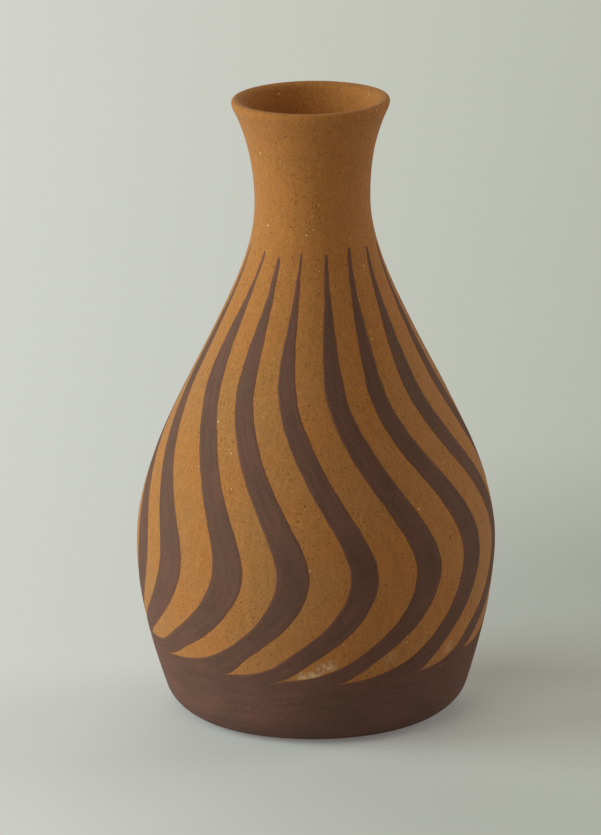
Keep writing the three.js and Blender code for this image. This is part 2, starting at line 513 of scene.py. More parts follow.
    def finish(self, colour: object, roughness: float, gloss: float) -> None:
        """Gives the shader its colour, roughness and specular level."""
        finish = {"Base Color": colour, "Roughness": roughness, "Specular IOR Level": gloss}
        self.fill(self.shader, finish)

    def bump(self, height: object, depth: float) -> None:
        """Bends the shader's normal by a height from 0 to 1 that stands depth mm high."""
        inputs = {"Strength": 1.0, "Distance": depth * MM, "Height": height}
        self.fill(self.shader, {"Normal": self.node("ShaderNodeBump", inputs).outputs[0]})


@dataclass(frozen=True)
class WornSpot:
    """A pale place where the surface is rubbed: its angle in degrees, height and reach in mm."""

    angle: float
    height: float
    reach: float
    strength: float


@dataclass(frozen=True)
class BareClay:
    """Unglazed clay, smoothed by hand: fine grain, grog, specks, pits and faint upright streaks.

    The body colour clouds over to the warm one in lumps of cloud mm, and turns to the neck's
    between neck_heights. Specks, pits and grog gather in patches of patch mm, and are thinned times
    as strong between patches. The pits sink in as bumps, and their dark colour is painted shade.
    Noise of worn_grain mm, from 0 to 1 over worn_range, breaks up the worn spots.
    """

    body: Colour = (0.358, 0.151, 0.046, 1)
    warm: Colour = (0.382, 0.144, 0.038, 1)
    neck: Colour = (0.372, 0.139, 0.034, 1)
    neck_heights: Pair = (190, 300)
    cloud: float = 42.0
    cloud_spread: float = 0.15
    texture: Texture = Texture(
        grain=0.8, dark=0.76, light=1.23, streak=2.2, squash=0.07, swing=0.08, share=0.7
    )
    patch: float = 17.0
    patch_spread: float = 0.08
    thinned: float = 0.45
    specks: Specks = Specks((0.175, 0.052, 0.017, 1), 1.7, 0.68, 0.5)
    speck_depth: float = 0.85
    # The pits' near-black colour is painted shade inside them; their depth is a real bump.
    shaded_pits: Specks = Specks((0.050, 0.020, 0.010, 1), 3.0, 0.6, 0.24)
    grog: Specks = Specks((0.86, 0.72, 0.50, 1), 3.6, 0.5, 0.14)
    pale: Colour = (0.60, 0.42, 0.25, 1)
    worn_grain: float = 2.4
    worn_range: Pair = (0.34, 0.56)
    roughness: float = 0.9
    gloss: float = 0.22
    dust: float = 0.07
    relief: float = 0.06
    spots: tuple[WornSpot, ...] = (
        WornSpot(-5, 45.2, 4, 0.8),
        WornSpot(-2.3, 45.5, 4, 0.9),
        WornSpot(0.2, 46.3, 4, 0.7),
        WornSpot(1.8, 50, 4.5, 0.8),
        WornSpot(4.6, 51.4, 5, 0.8),
        WornSpot(25.7, 54.2, 5, 0.28),
        WornSpot(51.5, 51.5, 5, 0.5),
    )

    def material(self, surface: PotSurface) -> bpy.types.Material:
        """Builds the clay's nodes.

        Args:
            surface: The pot's outside, on which the worn spots lie.

        Returns:
            The finished material.
        """
        paint = Painter("bare_clay")
        place = paint.millimetres
        cloud = paint.swing(paint.noise(place, self.cloud), self.cloud_spread, 0, 1)
        colour = paint.mix(cloud, self.body, self.warm)
        climb = paint.remap(paint.axes(place)[2], *self.neck_heights, 0, 1)
        colour = paint.mix(climb, colour, self.neck)
        upright = paint.stretched(place, (1, 1, self.texture.squash))
        shade, relief = paint.textured(upright, self.texture)
        colour = paint.scaled(colour, shade)
        patchy = paint.swing(paint.noise(place, self.patch), self.patch_spread, self.thinned, 1)
        kinds = [self.specks, self.shaded_pits, self.grog]
        specks, shaded_pits, grog = (paint.calc("MULTIPLY", paint.specks(kind), patchy) for kind in kinds)
        specks = paint.calc("MULTIPLY", specks, self.speck_depth)
        colour = paint.mix(specks, colour, self.specks.colour)
        colour = paint.mix(self.worn(paint, surface), colour, self.pale)
        # Painted shade: the pits are darkened as if shadowed inside them.
        colour = paint.mix(shaded_pits, colour, self.shaded_pits.colour)
        colour = paint.mix(grog, colour, self.grog.colour)
        paint.finish(colour, self.roughness, self.gloss)
        paint.fill(paint.shader, {"Sheen Weight": self.dust})
        paint.bump(paint.calc("SUBTRACT", relief, shaded_pits), self.relief)
        return paint.material

    def worn(self, paint: Painter, surface: PotSurface) -> Socket:
        """Sum of the pale spots, each fading with distance, broken up by noise.

        Args:
            paint: The clay's nodes.
            surface: The pot's outside.

        Returns:
            Share of the pale colour.
        """
        total: object = 0.0
        for spot in self.spots:
            centre = surface.place(np.radians(spot.angle), np.array(spot.height), np.array(0.0))
            away = paint.distance(tuple(centre.tolist()))
            total = paint.calc("ADD", total, paint.remap(away, spot.reach, 0, 0, spot.strength))
        rough = paint.noise(paint.millimetres, self.worn_grain, paint.fine)
        return paint.calc("MULTIPLY", total, paint.remap(rough, *self.worn_range, 0, 1))


@dataclass(frozen=True)
class BrushedSlip:
    """Dark slip, brushed on in one coat: purple to grey brown, thin and redder along its edges.

    The body colour clouds over to grey in lumps of cloud mm. The thin slip's colour starts at the
    first distance from the edge in thin_range, in mm, and is thin_depth strong at the second.
    """

    body: Colour = (0.137, 0.058, 0.043, 1)
    grey: Colour = (0.117, 0.055, 0.038, 1)
    cloud: float = 24.0
    cloud_spread: float = 0.12
    texture: Texture = Texture(
        grain=0.8, dark=0.80, light=1.18, streak=1.6, squash=0.06, swing=0.12, share=0.8
    )
    specks: Specks = Specks((0.21, 0.10, 0.06, 1), 2.9, 0.5, 0.20)
    speck_depth: float = 0.5
    # The pits' near-black colour is painted shade inside them; their depth is a real bump.
    shaded_pits: Specks = Specks((0.022, 0.012, 0.010, 1), 4.6, 0.55, 0.12)
    thin: Colour = (0.185, 0.066, 0.034, 1)
    thin_range: Pair = (1.3, 0.1)
    thin_depth: float = 0.85
    roughness: float = 0.86
    gloss: float = 0.25
    relief: float = 0.045

    def material(self) -> bpy.types.Material:
        """Builds the slip's nodes from Object coordinates, the brush map and the edge distance.

        Returns:
            The finished material.
        """
        paint = Painter("brushed_slip")
        cloud = paint.swing(paint.noise(paint.millimetres, self.cloud), self.cloud_spread, 0, 1)
        colour = paint.mix(cloud, self.body, self.grey)
        brush = paint.node("ShaderNodeUVMap", uv_map="brush").outputs[0]
        along = paint.stretched(brush, (1 / MM, self.texture.squash / MM, 1))
        shade, relief = paint.textured(along, self.texture)
        colour = paint.scaled(colour, shade)
        specks = paint.calc("MULTIPLY", paint.specks(self.specks), self.speck_depth)
        colour = paint.mix(specks, colour, self.specks.colour)
        edge = paint.node("ShaderNodeAttribute", attribute_name="edge").outputs["Fac"]
        thin = paint.remap(edge, *self.thin_range, 0, self.thin_depth)
        colour = paint.mix(thin, colour, self.thin)
        shaded_pits = paint.specks(self.shaded_pits)
        # Painted shade: the pits in the slip are darkened as if shadowed inside them.
        colour = paint.mix(shaded_pits, colour, self.shaded_pits.colour)
        paint.finish(colour, self.roughness, self.gloss)
        paint.bump(paint.calc("SUBTRACT", relief, shaded_pits), self.relief)
        return paint.material


@dataclass(frozen=True)
class Lap:
    """Half lap between two courses: from its seam to its crest, one half standing inside or outside."""

    seam: float
    crest: float
    stands_inside: bool

    @classmethod
    def between(cls, lower: str, upper: str, surface: PotSurface) -> "Lap":
        """Reads the lap from the frame.

        Args:
            lower: CAD node under the lap.
            upper: CAD node over it.
            surface: The pot's outside, whose lean says which half stands inside.

        Returns:
            The lap, in mm.
        """
        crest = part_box(lower)[1].z / MM
        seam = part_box(upper)[0].z / MM
        return cls(seam, crest, bool(surface.outline(crest) < surface.outline(seam)))

    @property
    def outer(self) -> float:
        """Height at which the two courses meet on the outside."""
        return self.seam if self.stands_inside else self.crest

    @property
    def inner(self) -> float:
        """Height at which the two courses meet on the inside."""
        return self.crest if self.stands_inside else self.seam


@dataclass
class ClayBody:
    """The slab, the wall courses and the lip, revolved from closed profiles of radius and height.

    lip_round is the radius of the lip's outer edge, and lip_fall the half width and half height of
    its inner one. lip_turns are the angles in degrees over which the two are drawn, 0 outwards and
    90 up. lip_starts is where the wall's skins end under the crest, as shares of the two edges'
    heights. Over the heights lip_sinks, from the last landmark, the lip sinks by lip_dip and its
    waves. The slab's unevenness fades from uneven_from to the axis, and its flat rings reach
    flat_share of the way to its edge.
    """

    surface: PotSurface
    material: bpy.types.Material
    columns: int = 360
    joint: float = 0.3
    cove: float = 9.0
    lip_round: float = 2.2
    lip_fall: Pair = (5.4, 5.5)
    lip_turns: tuple[Pair, Pair] = ((-10, 90), (97, 160))
    lip_starts: Pair = (3.0, 1.7)
    lip_sinks: Pair = (-11, 4)
    lip_dip: float = 0.45
    lip_waves: tuple[Unevenness, ...] = (
        Unevenness(0.342, 1, start=math.pi / 2),
        Unevenness(0.063, 3, start=4.0),
        Unevenness(0.045, 5),
    )
    uneven_from: float = 60.0
    flat_share: float = 0.97
    row: float = 1.6
    inner_row: float = 3.0
    least_rows: int = 6
    edge_points: int = 14
    flat_points: int = 9
    cove_points: int = 9
    lip_points: int = 12
    bridge_points: int = 4

    def skin(self, low: float, high: float, depth: float, row: float) -> Array:
        """Radius and height of points of a layer, row apart, from the first height to the second."""
        height = low + (high - low) * gathered(max(self.least_rows, math.ceil(abs(high - low) / row)))
        return np.stack([self.surface.inside(height, depth), height], axis=1)

    def edge_skin(self, low: float, high: float) -> Array:
        """Points of the foot edge between two trails, evenly spaced."""
        trail = np.linspace(low, high, self.edge_points)
        return np.stack(self.surface.meridian(trail, np.zeros_like(trail)), axis=1)

    def lap_edge(self, lap: Lap, upper: bool) -> Array:
        """The lap's two points in the middle of the wall, from its outer half to its inner one.

        Args:
            lap: The lap.
            upper: Whether they belong to the course over the lap.

        Returns:
            Two rows of radius and height.
        """
        side = 1 if lap.stands_inside != upper else -1
        middle = self.surface.wall / 2 + side * self.joint / 2
        height = np.array([lap.outer, lap.inner])
        return np.stack([self.surface.inside(height, middle), height], axis=1)

    def revolve(self, name: str, profile: Array, on_axis: bool = False) -> Piece:
        """Turns a profile about the axis, with the pot's unevenness at each height.

        Args:
            name: Name of the piece.
            profile: Rows of radius and height in mm, round the section.
            on_axis: Whether both ends lie on the axis. Otherwise the profile closes on itself.

        Returns:
            The closed piece.
        """
        angle = np.linspace(0, FULL_TURN, self.columns, endpoint=False)[None, :]
        rings = profile[1:-1] if on_axis else profile
        height = rings[:, 1:2]
        share = np.clip(rings[:, 0:1] / self.uneven_from, 0, 1) if on_axis else 1.0
        radius = rings[:, 0:1] + share * self.surface.unevenness(angle, height)
        drop = self.lip_drop(angle, height)
        points = turned(angle, radius, height - drop).reshape(-1, 3)
        quads = grid_quads(len(rings), self.columns, not on_axis, True)
        if not on_axis:
            return Piece(name, points, quads)
        poles = turned(np.zeros(2), profile[[0, -1], 0], profile[[0, -1], 1])
        pole, last = len(points), len(points) - self.columns
        sides = [(a, (a + 1) % self.columns) for a in range(self.columns)]
        fans = [[pole, b, a] for a, b in sides]
        fans += [[pole + 1, last + a, last + b] for a, b in sides]
        return Piece(name, np.concatenate([points, poles]), quads, fans)

    def lip_drop(self, angle: Array, height: Array) -> Array:
        """How far the last 15 mm sink, more on the left, because the lip was cut by eye."""
        dip = self.lip_dip + sum(wave.at(angle, height) for wave in self.lip_waves)
        return dip * smooth_step(*(self.surface.heights[-1] + np.array(self.lip_sinks)), height)

    def slab(self, ledge: float, top: float) -> Piece:
        """The floor slab: flat below, round at its edge, with a ledge for the first course.

        Args:
            ledge: Height of the ledge.
            top: Height of the floor.

        Returns:
            The closed piece.
        """
        heel = self.heel(top) - self.joint
        flat = self.surface.radii[0] - self.surface.edge_width
        share = np.linspace(0, self.flat_share, self.flat_points)[:, None]
        step = np.array([[heel, ledge], [heel, top]])
        edge = self.edge_skin(0, self.surface.trail_at(ledge))
        inner = share[::-1] * [heel, 0] + [0, top]
        return self.revolve("clay_floor", np.concatenate([share * [flat, 0], edge, step, inner]), True)

    def heel(self, floor: float) -> float:
        """Radius at which the wall's inside meets the floor, under the cove."""
        return float(self.surface.inside(floor + self.cove, self.surface.wall)) - self.cove

    def foot(self, ledge: float, floor: float, lap: Lap) -> Piece:
        """The first course: the upper part of the round foot edge, the wall, and a cove inside.

        Args:
            ledge: Height of the slab's ledge, on which it stands.
            floor: Height of the floor.
            lap: The lap over it.

        Returns:
            The closed piece.
        """
        surface = self.surface
        heel = self.heel(floor)
        angle = np.linspace(0, math.pi / 2, self.cove_points)
        cove = np.stack([heel + self.cove * np.cos(angle), floor + self.cove * (1 - np.sin(angle))], 1)
        profile = [
            self.edge_skin(surface.trail_at(ledge), surface.edge_height),
            self.skin(surface.edge_height, lap.outer, 0, self.row)[1:],
            self.lap_edge(lap, False),
            self.skin(lap.inner, floor + self.cove, surface.wall, self.inner_row)[:-1],
            cove,
            np.array([[heel, ledge]]),
        ]
        return self.revolve("clay_foot_course", np.concatenate(profile))

    def course(self, name: str, under: Lap, over: Lap) -> Piece:
        """A wall course between two laps: up its outside, over its top, down its inside.

        Args:
            name: Name of the piece.
            under: The lap under it.
            over: The lap over it.

        Returns:
            The closed piece.
        """
        profile = [
            self.skin(under.outer, over.outer, 0, self.row),
            self.lap_edge(over, False),
            self.skin(over.inner, under.inner, self.surface.wall, self.inner_row),
            self.lap_edge(under, True)[::-1],
        ]
        return self.revolve(name, np.concatenate(profile))

    def rim(self, under: Lap, top: float) -> Piece:
        """The last course and its lip, which turns tightly outside its crest and slowly inside it.

        Args:
            under: The lap under it.
            top: Height of the lip's crest.

        Returns:
            The closed piece.
        """
        crest = self.surface.radii[-1] - self.lip_round
        outer_edge = self.rounded(crest, top, (self.lip_round, self.lip_round), self.lip_turns[0])
        inner_edge = self.rounded(crest, top, self.lip_fall, self.lip_turns[1])
        outer_end = top - self.lip_starts[0] * self.lip_round
        inner_end = top - self.lip_starts[1] * self.lip_fall[1]
        outside = self.skin(under.outer, outer_end, 0, self.row / 2)
        inside = self.skin(inner_end, under.inner, self.surface.wall, self.row)
        profile = [
            outside,
            self.bridge(outside[-2:], outer_edge[:2]),
            outer_edge,
            inner_edge,
            self.bridge(inner_edge[-2:], inside[:2]),
            inside,
            self.lap_edge(under, True)[::-1],
        ]
        return self.revolve("clay_lip", np.concatenate(profile))

    def rounded(self, radius: float, top: float, reach: Pair, turns: Pair) -> Array:
        """Points of a rounded edge: an ellipse of two half widths under its top, from angle to angle.

        Args:
            radius: Radius at which the ellipse has its top.
            top: Height of its top.
            reach: Its half width and half height.
            turns: First and last angle in degrees, 0 outwards and 90 up.

        Returns:
            Rows of radius and height.
        """
        wide, tall = reach
        angle = np.radians(np.linspace(*turns, self.lip_points))
        return np.stack([radius + wide * np.cos(angle), top - tall + tall * np.sin(angle)], axis=1)

    def bridge(self, start: Array, end: Array) -> Array:
        """Points that carry one stretch smoothly into the next, on a cubic with both directions.

        Args:
            start: The last two points of the first stretch.
            end: The first two points of the second one.

        Returns:
            Rows of radius and height between the two stretches.
        """
        ends = np.array([start[1], end[0]])
        steps = np.array([start[1] - start[0], end[1] - end[0]])
        slopes = steps / np.linalg.norm(steps, axis=1)[:, None] * np.linalg.norm(ends[1] - ends[0])
        part = np.linspace(0, 1, self.bridge_points + 2)[1:-1]
        knots = np.array([0.0, 1.0])
        return np.stack([hermite(knots, *axis, part) for axis in zip(ends.T, slopes.T)], axis=1)

    def build(self) -> None:
        """Builds the slab, the courses and the lip, each in the place of its CAD node."""
        surface = self.surface
        parts = ("foot", "lower_belly", "upper_belly", "lower_shoulder", "upper_shoulder", "neck")
        names = [f"{part}_wall" for part in parts] + ["rim_lip"]
        laps = [Lap.between(lower, upper, surface) for lower, upper in zip(names, names[1:])]
        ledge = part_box("foot_wall")[0].z / MM
        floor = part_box("floor_disc")[1].z / MM
        self.slab(ledge, floor).build("floor_disc", Slot.CLAY, self.material)
        self.foot(ledge, floor, laps[0]).build("foot_wall", Slot.CLAY, self.material)
        for node, under, over in zip(names[1:-1], laps, laps[1:]):
            piece = self.course("clay_" + node.replace("_wall", "_course"), under, over)
            piece.build(node, Slot.CLAY, self.material)
        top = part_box("rim_lip")[1].z / MM
        self.rim(laps[-1], top).build("rim_lip", Slot.CLAY, self.material)


@dataclass(frozen=True)
class Stroke:
    """How one stripe differs from the mean one.

    shifts turn it to the right, in degrees, at StripeSet.shift_heights. widths scale it at
    StripeSet.width_heights. flame is where the bare clay on its right ends in a point: the turn
    from the stripe's own meridian in degrees, and the height in mm. tip is how many mm higher it
    starts than the mean one.
    """

    shifts: tuple[float, ...]
    widths: tuple[float, ...]
    flame: Pair
    tip: float = 0.0


FRONT_STROKES = {
    13: Stroke((-7, -3, -2, -1, 0, 0, 0), (1.18, 1.13, 1, 1, 1), (3.2, 51.7)),
    14: Stroke((-5.3, -1.1, 0.9, 3.2, 1, 3.4, 6.6), (1.3, 1.07, 1, 1.2, 0.85), (-2.3, 46)),
    15: Stroke((-1.8, -0.5, -0.5, 0.6, 0.8, 1.4, 1.1), (1.05, 1.04, 1, 1.07, 1.1), (3, 43.2), -2.5),
    16: Stroke((-1, 0.2, -0.4, 0.5, -0.6, -0.4, -0.4), (1.06, 0.9, 0.93, 0.93, 0.8), (0.5, 42.2), 0.8),
    1: Stroke((0.5, 1, 0.2, 0.4, 0.5, -0.1, -0.4), (0.94, 1, 1.03, 1.03, 1), (-0.6, 40.6), 0.3),
    2: Stroke((2.3, -0.7, 0.6, -1.5, -0.6, -1, 0), (0.96, 1.05, 1.03, 0.95, 1.1), (6.2, 42.2), 2.7),
    3: Stroke((0.8, 0, 0.9, -1.8, -1.5, -1.2, 0), (1, 1, 1.05, 1.08, 1.15), (6.8, 47), 1.0),
    4: Stroke((1, 0.4, 0, 0, 0.4, 0, 0.4), (1, 1, 1.03, 1, 1.05), (4, 44), 0.5),
}


@dataclass(frozen=True)
class Coat:
    """How the slip stands on the clay: sunk at its edge, level after a short slope, with a back."""

    sunk: float = 0.06
    level: float = 0.17
    slope: float = 0.8
    back: float = 0.3

    def over(self, edge: Array) -> Array:
        """Height over the clay in mm at a distance from the coat's edge."""
        return -self.sunk + (self.level + self.sunk) * smooth_step(0, self.slope, edge)


@dataclass
class Sheet:
    """A grid of slip over the clay, with its values at each place.

    angle is in radians. trail, edge and brush are in mm: edge is the distance from the coat's
    edge, and brush holds the place across and along in the brush map.
    """

    angle: Array
    trail: Array
    edge: Array
    brush: Array


@dataclass
class StripeSet:
    """Sixteen brushed stripes and the foot band that they run into.

    A stripe is a grid: its rows go down it and its columns across it, from its left edge to its
    right one. Both edges are smooth curves of turn and height through the same stations, each a
    height with the turns of the left and right edge. row_power gathers a stripe's rows towards the
    band, and band_power and band_ease gather the band's towards its top. Under merge_top an edge
    is led to its flame, slowly at first by merge_power. Stripes at the back draw their strokes
    from the back_ ranges. foot_stretch is about how long a mm of trail is on the foot edge.
    """

    surface: PotSurface
    material: bpy.types.Material
    count: int = 16
    first_meridian: float = 10.2
    rows: int = 190
    columns: int = 20
    row_power: float = 1.25
    trace_points: int = 1200
    coat: Coat = Coat()
    stations: tuple[Triple, ...] = (
        (273.2, 0.6, 3.8),
        (270, 0.1, 4.1),
        (262, -1.2, 3.5),
        (246, -3.0, 3.2),
        (228, -5.2, 3.3),
        (214, -6.0, 3.5),
        (204, -5.8, 4.2),
        (194, -4.3, 5.5),
        (178, 0.1, 10.1),
        (160, 6.6, 16.7),
        (140, 14.3, 24.5),
        (122, 20.1, 30.6),
        (108, 22.6, 33.0),
        (96, 22.1, 32.6),
        (84, 19.1, 29.6),
        (72, 13.9, 24.6),
        (60, 5.9, 16.8),
        (52, -0.7, 10.3),
        (48.3, -5.2, 7.3),
        (45.3, -10.5, 4.5),
        (43.4, -16.0, 2.5),
        (42.4, -21.6, 0.9),
    )
    shift_heights: tuple[float, ...] = (52, 84, 132, 180, 216, 252, 273)
    width_heights: tuple[float, ...] = (60, 108, 160, 216, 256)
    tip_from: float = 216.0
    merge_top: float = 60.0
    merge_power: float = 1.5
    back_shift: Pair = (-1.3, 1.3)
    back_width: Pair = (0.92, 1.12)
    back_flame: tuple[Pair, Pair] = ((-2, 3.5), (41.5, 46))
    edge_wander: float = 0.09
    wander_lengths: Triple = (11.0, 19.0, 37.0)
    wander_fades: Pair = (12, 30)
    brush_width: float = 12.0
    brush_gap: float = 40.0
    band_sag: float = 3.0
    sag_reach: float = 14.0
    band_rows: int = 34
    band_power: float = 1.6
    band_ease: float = 0.25
    band_foot: float = 0.7
    band_waves: tuple[Unevenness, ...] = (Unevenness(0.5, 3), Unevenness(0.35, 7, start=2))
    foot_stretch: float = 1.2

    def __post_init__(self) -> None:
        """Draws the strokes of the stripes at the back, and lays the mean stations out as arrays."""
        self.random = np.random.default_rng(SEED)
        self.mean = np.array(self.stations)
        numbers = range(1, self.count + 1)
        self.strokes = [FRONT_STROKES.get(number) or self.free_stroke() for number in numbers]

    def free_stroke(self) -> Stroke:
        """A stroke of the unseen side, as uneven as the seen ones.

        Returns:
            The stroke.
        """
        shifts = self.random.uniform(*self.back_shift, len(self.shift_heights))
        widths = self.random.uniform(*self.back_width, len(self.width_heights))
        turn, height = (self.random.uniform(*limits) for limits in self.back_flame)
        return Stroke(tuple(shifts), tuple(widths), (turn, height))

    @property
    def pitch(self) -> float:
        """Angle between two stripes in degrees."""
        return 360 / self.count

    def edges(self, index: int) -> Array:
        """Stations of one stripe's two edges.

        Each edge is the mean one, widened and turned as the stroke says, and led over its last
        stations to the point of the bare clay beside it.

        Args:
            index: Number of the stripe, from 0.

        Returns:
            An array of edge, station and (turn in degrees, height in mm).
        """
        stroke, before = self.strokes[index], self.strokes[index - 1]
        height, left, right = self.mean.T
        shift = smooth_through(np.array(self.shift_heights, float), np.array(stroke.shifts), height)
        width = smooth_through(np.array(self.width_heights, float), np.array(stroke.widths), height)
        led = np.clip((self.merge_top - height) / (self.merge_top - height[-1]), 0, 1) ** self.merge_power
        lifted = stroke.tip * smooth_step(self.tip_from, height[0], height)
        middle, half = (left + right) / 2, (right - left) / 2
        ends = ((before.flame[0] - self.pitch, before.flame[1]), stroke.flame)
        found = []
        for side, own, end in ((-1, left, ends[0]), (1, right, ends[1])):
            free = middle + shift + side * half * width
            turn = free * (1 - led) + (own + end[0] - own[-1]) * led
            found.append(np.stack([turn, height + lifted + led * (end[1] - height[-1])], axis=1))
        return np.array(found)

    def girth(self, height: Array) -> Array:
        """How many mm round the pot a degree is at each height."""
        return np.radians(self.surface.outline(height))

    def travel(self, line: Array) -> Array:
        """Distance in mm down a line of turns and heights over the pot, from its first place."""
        steps = np.hypot(np.diff(line[:, 0]) * self.girth(line[1:, 1]), np.diff(line[:, 1]))
        return np.concatenate([[0], np.cumsum(steps)])

    def strip(self, index: int) -> Sheet:
        """Grid of one stripe.

        The edges are read at common places along the middle line, spaced evenly by its length and
        closer towards the foot. Each row goes straight from one edge to the other, with its
        columns gathered at both, and the last rows sag towards the foot. The distance from an edge
        is that from its tangent.

        Args:
            index: Number of the stripe, from 0.

        Returns:
            The stripe's grid.
        """
        stations = self.edges(index)
        centre = stations.mean(axis=0)
        knots = np.concatenate([[0], np.cumsum(np.sqrt(np.diff(self.travel(centre))))])
        fine = np.linspace(0, knots[-1], self.trace_points)
        trace = np.stack([smooth_through(knots, axis, fine) for axis in centre.T], axis=1)
        length = self.travel(trace)
        down = length[-1] * (1 - (1 - np.linspace(0, 1, self.rows)) ** self.row_power)
        at = np.interp(down, length, fine)
        sides = np.array([[smooth_through(knots, axis, at) for axis in side.T] for side in stations])
        sides[:, 0] += self.wander(down) / self.girth(sides[:, 1])
        across = gathered(self.columns)[None, :]
        turn, height = sides[0][:, :, None] * (1 - across) + sides[1][:, :, None] * across
        sag = smooth_step(length[-1] - self.sag_reach, length[-1], down)[:, None] * self.band_sag
        height = height - sag * 4 * across * (1 - across)
        meridian = self.first_meridian + index * self.pitch
        beside = index * self.brush_gap + np.linspace(0, self.brush_width, self.columns + 1)
        brush = np.stack(np.broadcast_arrays(beside[None, :], down[:, None]), axis=-1)
        return Sheet(np.radians(meridian + turn), height, self.edge_distance(sides, turn, height), brush)

    def wander(self, down: Array) -> Array:
        """Sideways wander of both edges in mm, a sum of seeded waves that dies out at both ends.

        Args:
            down: Distance of each row down the stripe, in mm.

        Returns:
            The wander of each edge at each row.
        """
        start, end = self.wander_fades
        fade = smooth_step(0, start, down) * smooth_step(0, end, down[-1] - down)
        total = np.zeros((2, len(down)))
        for wavelength in self.wander_lengths:
            phase = self.random.uniform(0, FULL_TURN, 2)[:, None]
            total += self.edge_wander * np.cos(FULL_TURN * down[None, :] / wavelength + phase)
        return total * fade

    def edge_distance(self, sides: Array, turn: Array, height: Array) -> Array:
        """Distance of each place of a stripe from its nearer edge, square to that edge's tangent.

        Args:
            sides: Turn and height of both edges at each row.
            turn: Turn of each place in degrees.
            height: Height of each place in mm.

        Returns:
            The distance in mm.
        """
        found = []
        for side in sides:
            girth = self.girth(side[1])
            slope = np.sqrt(1 + self.surface.lean(side[1]) ** 2)
            along = np.stack([np.gradient(side[0]) * girth, np.gradient(side[1]) * slope])
            along /= np.linalg.norm(along, axis=0)
            off_x = (turn - side[0][:, None]) * girth[:, None]
            off_z = (height - side[1][:, None]) * slope[:, None]
            found.append(np.abs(off_x * along[1][:, None] - off_z * along[0][:, None]))
        return np.minimum(*found)

    def shell(self, name: str, sheet: Sheet, round_the_pot: bool) -> Piece:
        """Closes a grid of slip into a thin solid: its face over the clay, and its back sunk in it.

        Args:
            name: Name of the piece.
            sheet: The grid.
            round_the_pot: Whether the grid closes on itself round the pot.

        Returns:
            The closed piece.
        """
        rows, columns = sheet.angle.shape
        count = rows * columns
        overs = (self.coat.over(sheet.edge), np.full_like(sheet.edge, -self.coat.back))
        points = [self.surface.place(sheet.angle, sheet.trail, over).reshape(-1, 3) for over in overs]
        number = np.arange(count).reshape(rows, columns)
        if round_the_pot:
            rims = [np.append(number[0], number[0, 0]), np.append(number[-1], number[-1, 0])[::-1]]
        else:
            rims = [np.concatenate([number[0, :-1], number[:-1, -1], number[-1, :0:-1], number[::-1, 0]])]
        face = grid_quads(rows, columns, False, round_the_pot)
        quads = [face, face[:, ::-1] + count]
        for rim in rims:
            start, end = rim[:-1], rim[1:]
            quads.append(np.stack([end, start, start + count, end + count], axis=1))
        edge = np.tile(sheet.edge.ravel(), 2)
        brush = np.tile(sheet.brush.reshape(-1, 2) * MM, (2, 1))
        return Piece(name, np.concatenate(points), np.concatenate(quads), edge=edge, brush=brush)

    def band(self, stripes: list[Sheet]) -> Piece:
        """The foot band: its top row is the last row of every stripe, and its columns run straight down.

        Args:
            stripes: Grid of each stripe, round the pot.

        Returns:
            The closed piece.
        """
        angle, top, edge = (
            np.concatenate([getattr(stripe, part)[-1, :-1] for stripe in stripes])[None, :]
            for part in ("angle", "trail", "edge")
        )
        low = self.surface.trail_at(self.band_foot) + sum(wave.at(angle, 0.0) for wave in self.band_waves)
        share = np.linspace(0, 1, self.band_rows)[:, None] ** self.band_power
        share = share * (1 - self.band_ease * share) / (1 - self.band_ease)
        trail = top + (low - top) * share
        reach = np.minimum(edge + top - trail, (trail - low) * self.foot_stretch)
        wide = np.broadcast_to(angle, trail.shape)
        brush = np.stack([trail, wide * self.surface.radii[0]], axis=-1)
        return self.shell("slip_band", Sheet(wide, trail, reach, brush), True)

    def build(self) -> None:
        """Builds the sixteen stripes and the band, each in the place of its CAD node."""
        stripes = [self.strip(index) for index in range(self.count)]
        for number, stripe in enumerate(stripes, 1):
            piece = self.shell(f"slip_stroke_{number:02d}", stripe, False)
            piece.build(f"slip_stripe_{number:02d}", Slot.SLIP, self.material)
        self.band(stripes).build("slip_foot_band", Slot.SLIP, self.material)


@dataclass(frozen=True)
class SoftLamp:
    """A square area lamp that looks at the middle of the pot.

    azimuth turns from the viewer to the right, and elevation is over the floor, both in degrees.
    light is the share of full daylight that it gives on a surface that faces it.
    """

    name: str
    azimuth: float
    elevation: float
    distance: float
    size: float
    light: float
    tint: Triple = (1, 1, 1)


@dataclass(frozen=True)
class FloorShade:
    """A soft round shade on the floor: its middle and reach in mm, and how much it darkens there."""

    place: Triple
    reach: float
    depth: float


